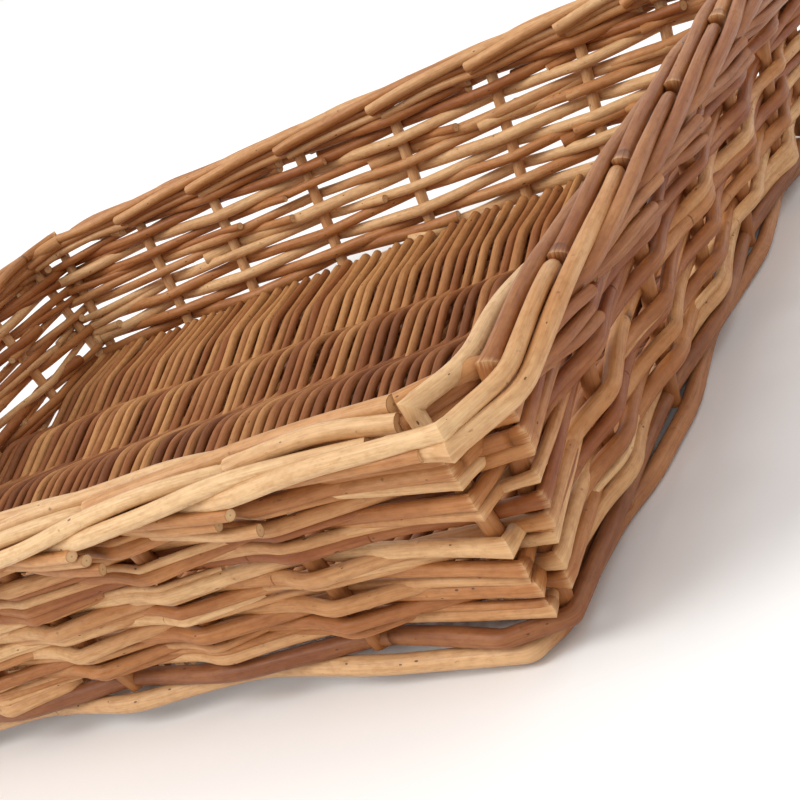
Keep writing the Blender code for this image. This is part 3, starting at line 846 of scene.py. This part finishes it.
def strand_route(index, shape, rng, reach=0.0):
    """The corner points of a strand, their outward directions, and which of them turn a corner of the tray.

    Outer strands turn each corner in one fold, `reach` past its first upright, and lean into the next wall.
    """
    stops = upright_at(index, shape[:, 0])
    between = [*range(math.ceil(stops[0] + 0.2), math.floor(stops[-1] - 0.2) + 1)]
    turns = [stop for stop in between if IS_CORNER[stop % COUNT]]
    clear = [stop for stop in stops if all(abs(stop - turn) > NEAR_A_TURN for turn in turns)]
    all_stops = np.unique(np.concatenate([clear, turns]).round(3))
    offset = np.interp(all_stops, stops, shape[:, 1]) * MM
    level = np.interp(all_stops, stops, shape[:, 2]) * MM
    out = unit(along(BORDER_OUT, all_stops))
    at_neck = along(stakes_at(NECK[:, 2]), all_stops)
    lean = np.linalg.norm((NECK - FOOT)[:, :2], axis=1).mean() / (NECK - FOOT)[:, 2].mean()
    route = at_neck + out * (offset + lean * (level - NECK[0, 2]))[:, None]
    route[:, 2] = level + rng.normal(0, 0.3 * MM, len(level))
    nearest = all_stops.round().astype(int) % COUNT
    turning = np.isin(all_stops, turns)
    first = turning & IS_FIRST[nearest]
    route += TANGENT[nearest] * (first * reach)[:, None]
    route[:, 2] -= (turning & (reach > 0)) * CORNER_SINK
    return route, out, turning, first


def strand(index, shape, radius, tone, rng, taper=0.12, reach=0.0):
    """A strand of the border without an upright of its own."""
    route, out, turning, first = strand_route(index, shape, rng, reach)
    cuts = np.where(turning, CORNER_CUT, STRAND_CUT)
    creased = first & (reach > 0)
    cuts[creased] = 0
    path = rounded(route, cuts[1:-1])
    shares = np.linspace(*upright_at(index, shape[[0, -1], 0]), len(route))
    shift = along(STRAND_SHIFT, shares)[:, None]
    tones = np.clip(tone + carry(shift, route, path)[:, 0], 0, 1)
    aims = carry(out, route, path)
    return lay_rod(path, aims, radius, rng, tones, taper, folds=route[creased], wander=ROD_WANDER)


def upright_rod(index, tone, rng):
    """An upright with its cap strand, one rod with a sharp fold between them.

    The first upright of a corner leans its strand far in; a strand that comes to a corner is cut off there.
    """
    shape = CORNER_CAP_STRAND if IS_FIRST[index] else CAP_STRAND
    ahead = [step for step in (1, 2) if IS_FIRST[(index + step) % COUNT]]
    if ahead:
        stop = ahead[0] - 0.1
        kept = shape[shape[:, 0] < stop - 0.2]
        end = (stop, -7.0 if ahead[0] == 2 else -1.5, 86.0 if ahead[0] == 2 else 82.6)
        shape = np.vstack([kept, end])
    cap, out, *_ = strand_route(index, shape, rng)
    foot = stakes_at(np.full(COUNT, FOOT[0, 2]))[index]
    knee = stakes_at(np.full(COUNT, NECK[0, 2]))[index]
    foot = foot + [0, 0, lift(foot[None])[0] + CUT_ABOVE]
    route = np.concatenate([[foot, knee], cap])
    aim = np.concatenate([out[[0, 0]], out])
    cuts = np.full(len(route) - 2, STRAND_CUT)
    cuts[:2] = KNEE_CUT, 0
    path = rounded(route, cuts)
    tones = np.where(path[:, 2] < NECK[index, 2], UPRIGHT_TONE[STAKES[index].split("_")[0]], tone)
    return lay_rod(path, carry(aim, route, path), CAP_RADIUS, rng, tones, 0.1, folds=cap[:1])


# %% Lay the uprights and the border
uprights = []
for index, name in enumerate(STAKES):
    rng = np.random.default_rng(UPRIGHT_SEED + index)
    low, high = WALL_TONES[index]
    rods = [upright_rod(index, 0.05 if index in RED_CAPS else rng.uniform(low, high), rng)]
    if not IS_FIRST[index]:
        # the sweeps of this stretch get a lighter tone, which is painted sunlight
        sweep_tone = PAINTED_SUN_TONE if index in PAINTED_SUN_UPRIGHTS else rng.uniform(low, high)
        shape = SWEEP_STRAND
        if IS_FIRST[(index + 3) % COUNT]:
            shape = np.vstack([shape[shape[:, 0] < CORNER_STOP[0] - 0.3], CORNER_STOP])
        rods.append(strand(index, shape, SWEEP_RADIUS, sweep_tone, rng, reach=CORNER_REACH))
    rods += [strand(index, inner, TAIL_RADIUS, rng.uniform(0.1, 0.6), rng) for inner in INNER_STRANDS]
    if not IS_SECOND[index]:
        for tail in TAIL_STRANDS[:1] if IS_FIRST[index] else TAIL_STRANDS:
            shape = tail.copy()
            along_the_rim = rng.uniform(-1, 1) * TAIL_SPREAD * np.array([1, 0, 0])
            shape[-2:] += along_the_rim + (0, 0, rng.uniform(-0.8, 0.8))
            rods.append(strand(index, shape, TAIL_RADIUS, rng.uniform(low, high) - 0.2, rng, 0.2))
    else:
        rods.append(strand(index, CORNER_BUTT, 1.15 * CAP_RADIUS, 0.5, rng))
    uprights.append(add_piece(name.replace("stake", "upright"), rods, STAKE_WOOD, [name]))
print(len(uprights), "uprights, each with its strands of the border")

# %% [markdown]
# ## The foot
#
# Two thick rods run round the feet of the uprights. They stand out before each corner, turn it in two
# bends and lie close in just past it. Along the walls they go outside and inside the uprights by turns.
# The uprights are cut off behind them.

# %% Lay the foot
FOOT_RADIUS = 2.9 * MM
# how far the foot rods lie outside and inside the uprights, in reaches, on the front wall and on the others
FOOT_SWING = {"front": (0.85, -0.6)}
FOOT_CALM = (0.68, -0.5)
# the two bends of each foot rod at a corner, in millimetres out from the line of the next wall and this one
FOOT_BENDS = {
    "foot_rod_lower": ((-10.0, 6.0), (-4.6, -4.8)),
    "foot_rod_upper": ((-15.5, 6.4), (1.8, -0.4)),
}
FOOT_RAISED = 0.75 * MM
FOOT_JOINTS = (2, 17)
FOOT_CORNER_CUT, FOOT_CUT = 1.6 * MM, 9 * MM
FOOT_SEED = 500
# how far outside the first upright after a corner a rod passes, in reaches, if its turn is outside, and where
# past it the lower rod swings out, in uprights, and how far
PAST_A_CORNER = -0.1
SWINGS_AT, SWINGS_OUT = 0.36, 2.2 * MM


def foot_side(row):
    """How far a foot rod passes outside each upright, in reaches: outside and inside by turns."""
    number = np.concatenate([[0, *range(1, count + 1), 0] for _, count, *_ in WALLS])
    swing = np.array([FOOT_SWING.get(wall, FOOT_CALM) for wall, count, *_ in WALLS for _ in range(count + 2)])
    turned = np.array([wall != "front" for wall, count, *_ in WALLS for _ in range(count + 2)])
    outside = np.where(number == 1, PAST_A_CORNER, swing[:, 0])
    return np.where(IS_CORNER | ((number + row + turned) % 2 == 1), outside, swing[:, 1])


def foot_rod(row, name, rng):
    """A foot rod, once round from its joint.

    At a corner its two bends stand off the corner point where the lines of the walls meet: the first before
    it and well outside, the second just past it and close in.
    """
    levels = np.full(COUNT, (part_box(name)[0][2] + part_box(name)[1][2]) / 2 + FOOT_RAISED)
    points, outward = taut_ring(levels, foot_side(row), STAKE_RADIUS + FOOT_RADIUS)
    centres = stakes_at(levels)
    for first in np.flatnonzero(IS_FIRST):
        second = (first + 1) % COUNT
        before, after = WALL_WAY[first], WALL_WAY[second]
        meet = before * (centres[first, :2] @ before) + after * (centres[second, :2] @ after)
        for place, (on_next, on_this) in zip((first, second), FOOT_BENDS[name]):
            points[place, :2] = meet + (after * on_next + before * on_this) * MM
    start = FOOT_JOINTS[row]
    stops = np.arange(start, start + COUNT + 1).astype(float)
    past = stops[:-1][IS_SECOND[(stops[:-1].astype(int) - 1) % COUNT]] + SWINGS_AT
    stops[[0, -1]] += (0.05, -0.05)
    stops = np.sort(np.concatenate([stops, past]))
    swings = np.isin(stops, past)
    route, aim = along(points, stops), along(outward, stops)
    route += aim * (swings * (1 - row) * SWINGS_OUT)[:, None]
    route[:, 2] += lift(route)
    cuts = np.where(IS_CORNER[stops.astype(int) % COUNT], FOOT_CORNER_CUT, FOOT_CUT)
    path = rounded(route, cuts[1:-1])
    # the lower rod is lighter than the upper one, and lighter again along the front wall, where the lamp
    # falls: that part is painted light
    front = np.array([(0 < stop % COUNT < 8.6) for stop in stops], float)[:, None]
    tones = 0.12 + (1 - row) * (0.25 + 0.5 * carry(front, route, path)[:, 0])
    return lay_rod(path, carry(aim, route, path), FOOT_RADIUS, rng, tones, taper=0.06, wander=0.2 * MM)


for row, name in enumerate(("foot_rod_lower", "foot_rod_upper")):
    rod = foot_rod(row, name, np.random.default_rng(FOOT_SEED + row))
    add_piece(name.replace("rod", "band"), [rod], FOOT_WOOD, [name])
print("foot laid")

# %% [markdown]
# ## The base
#
# Seven sticks run along the base. Across them lie well over a hundred rods, packed close: each goes over
# one stick and under the next, and its neighbour does the opposite. From above, every stick carries a row
# of arches.

# %% Lay the base
STICKS = [f"base_stick_{number}" for number in range(1, 8)]
WEAVERS = [f"base_weaver_{number}" for number in range(1, 8)]
STICK_Y = np.array([(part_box(name)[0][1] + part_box(name)[1][1]) / 2 for name in STICKS])
BASE_LEVEL = (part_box(STICKS[0])[0][2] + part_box(STICKS[0])[1][2]) / 2
STICK_RADIUS = 2.7 * MM
PASS_RADIUS = 2.08 * MM
PASS_STEP = 3.15 * MM
ARCH = 5.2 * MM
EDGE = 6.5 * MM
EDGE_BELOW = 2.0 * MM
DRIFT = 0.5 * MM
# how much of each stick's CAD length is cut off at both ends
TRIMMED = 7.0 * MM
# the fall of a rod from a stick that it passes over, by shares of the way to the next stick
FALL_SHARES = np.array([0.07, 0.52, 0.75])
FALL_HEIGHTS = np.array([0.96, -0.62, -0.9])
# the base is paler along the long walls, which is painted light, and darker towards the right wall, which is
# painted shade
PAINTED_LIGHT_BY_THE_WALLS = 0.35
PAINTED_SHADE_TO_THE_RIGHT = 0.4
# how far past the CAD weavers the first and last rod lie
BEYOND_THE_WEAVERS = 2 * PASS_STEP
STICK_POINTS, PASS_POINTS = 60, 150
STICK_SEED, WEAVER_SEED = 700, 800


def stick_rod(name, rng):
    """A straight rod along the base."""
    low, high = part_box(name)
    y = (low[1] + high[1]) / 2
    ends = low[0] + TRIMMED, high[0] - TRIMMED
    route = np.linspace((ends[0], y, BASE_LEVEL), (ends[1], y, BASE_LEVEL), STICK_POINTS)
    aims = np.tile([0, 1.0, 0], (STICK_POINTS, 1))
    return lay_rod(route, aims, STICK_RADIUS, rng, rng.uniform(0.1, 0.8), taper=0.1)


def pass_rod(number, x, rng):
    """One rod across the base, over every second stick and under the others.

    It falls steeply from the top of each arch and lies low for the rest of the way. Over or under the outer
    two sticks it stays on the side where the stick before put it, and the arches rise a little to the walls.
    """
    order = np.arange(len(STICK_Y))
    sign = np.where((order + number) % 2 == 0, 1.0, -1.0)
    sign[[0, -1]] = sign[[1, -2]]
    rise = rng.uniform(1.1, 1.5, 2)
    edge = np.where(sign[[0, -1]] > 0, EDGE, EDGE_BELOW)
    knots, heights = [STICK_Y[0] - edge[0]], [sign[0] * (rise[0] + 0.15 if sign[0] > 0 else 0.9)]
    for place in order:
        knots.append(STICK_Y[place])
        outer = place in (order[0], order[-1])
        heights.append(sign[place] * (rise[int(place > 0)] if outer and sign[place] > 0 else 1.0))
        if place < order[-1] and sign[place] != sign[place + 1]:
            gap = STICK_Y[place + 1] - STICK_Y[place]
            shares = FALL_SHARES if sign[place] > 0 else 1 - FALL_SHARES[::-1]
            falls = FALL_HEIGHTS if sign[place] > 0 else FALL_HEIGHTS[::-1]
            knots += list(STICK_Y[place] + gap * shares)
            heights += list(falls)
    knots.append(STICK_Y[-1] + edge[1])
    heights.append(sign[-1] * (rise[1] + 0.15 if sign[-1] > 0 else 0.9))
    y = np.linspace(knots[0], knots[-1], PASS_POINTS)
    z = np.interp(y, knots, heights) * rng.uniform(0.92, 1.08)
    z = np.convolve(np.pad(z, 2, mode="edge"), (0.1, 0.24, 0.32, 0.24, 0.1), "valid")
    drift = rng.normal(0, DRIFT, len(STICK_Y))
    lean = rng.normal(0, DRIFT) * y / STICK_Y[-1]
    route = np.stack([x + lean + np.interp(y, STICK_Y, drift), y, BASE_LEVEL + ARCH * z], axis=1)
    # painted shade towards the right wall, and painted light along the long walls
    tone = rng.uniform(0.25, 1.0) - PAINTED_SHADE_TO_THE_RIGHT * max(x / STICK_Y[-1], 0)
    tones = np.clip(tone + PAINTED_LIGHT_BY_THE_WALLS * (np.abs(y) / STICK_Y[-1] - 0.5), 0, 1)
    return lay_rod(route, np.tile([1.0, 0, 0], (len(y), 1)), PASS_RADIUS * rng.uniform(0.84, 1.14), rng,
                   tones, taper=0.14 * rng.choice([-1, 1]), wander=0.25 * MM)


for name in STICKS:
    rod = stick_rod(name, np.random.default_rng(STICK_SEED + int(name[-1])))
    add_piece(name.replace("stick", "runner"), [rod], STICK_WOOD, [name])
left_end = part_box(WEAVERS[0])[0][0] - BEYOND_THE_WEAVERS
right_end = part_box(WEAVERS[-1])[1][0] + BEYOND_THE_WEAVERS
print("base rods from", round(1000 * left_end, 1), "to", round(1000 * right_end, 1), "mm")
passes = int(round((right_end - left_end) / PASS_STEP)) + 1
places = np.linspace(left_end, right_end, passes)
groups = np.array_split(np.arange(passes), len(WEAVERS))
for group, name in zip(groups, WEAVERS):
    rng = np.random.default_rng(WEAVER_SEED + int(name[-1]))
    rods = [pass_rod(number, places[number], rng) for number in group]
    add_piece(name.replace("weaver", "weave"), rods, WEAVER_WOOD, [name])
print(passes, "rods across the base")
